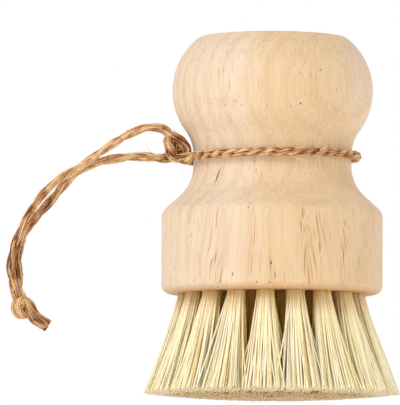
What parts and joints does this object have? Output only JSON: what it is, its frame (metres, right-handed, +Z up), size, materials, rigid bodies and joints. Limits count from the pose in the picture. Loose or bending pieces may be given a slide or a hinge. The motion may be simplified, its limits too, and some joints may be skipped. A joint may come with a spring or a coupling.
{
  "type": "palm brush",
  "caption": "Round palm brush with a turned wooden knob handle, a fan of stiff plant-fibre tufts and a jute hanging loop tied round its waist.",
  "frame": {"origin": "on the standing plane of the trimmed bristles, under the middle of the handle", "axes": "+Z up along the turning axis of the handle; the hanging loop lies on the -X side, in the XZ plane"},
  "size_m": [0.0926, 0.0602, 0.0863],
  "materials": {
    "turned_beech": "sanded, unvarnished",
    "plant_fibre": "stiff cut fibre",
    "steel_wire": "bright wire",
    "jute_twine": "twisted, fuzzy"
  },
  "bodies": {
    "brush": {"handle": "turned_beech", "staples": "steel_wire", "tuft_centre": "plant_fibre", "tuft_inner_01": "plant_fibre", "tuft_inner_02": "plant_fibre", "tuft_inner_03": "plant_fibre", "tuft_inner_04": "plant_fibre", "tuft_inner_05": "plant_fibre", "tuft_inner_06": "plant_fibre", "tuft_middle_01": "plant_fibre", "tuft_middle_02": "plant_fibre", "tuft_middle_03": "plant_fibre", "tuft_middle_04": "plant_fibre", "tuft_middle_05": "plant_fibre", "tuft_middle_06": "plant_fibre", "tuft_middle_07": "plant_fibre", "tuft_middle_08": "plant_fibre", "tuft_middle_09": "plant_fibre", "tuft_middle_10": "plant_fibre", "tuft_middle_11": "plant_fibre", "tuft_middle_12": "plant_fibre", "tuft_outer_01": "plant_fibre", "tuft_outer_02": "plant_fibre", "tuft_outer_03": "plant_fibre", "tuft_outer_04": "plant_fibre", "tuft_outer_05": "plant_fibre", "tuft_outer_06": "plant_fibre", "tuft_outer_07": "plant_fibre", "tuft_outer_08": "plant_fibre", "tuft_outer_09": "plant_fibre", "tuft_outer_10": "plant_fibre", "tuft_outer_11": "plant_fibre", "tuft_outer_12": "plant_fibre", "tuft_outer_13": "plant_fibre", "tuft_outer_14": "plant_fibre", "tuft_outer_15": "plant_fibre", "tuft_outer_16": "plant_fibre", "tuft_outer_17": "plant_fibre", "tuft_outer_18": "plant_fibre"},
    "cord": {"neck_turn": "jute_twine", "neck_knot": "jute_twine", "loop_upper_leg": "jute_twine", "loop_lower_leg": "jute_twine", "end_knot": "jute_twine", "cord_tails": "jute_twine"}
  },
  "joints": [
    {"name": "cord_swivel", "type": "hinge", "parent": "brush", "child": "cord", "pos_m": [0, 0, 0.0569], "axis": [0, 0, 1], "continuous": true}
  ]
}
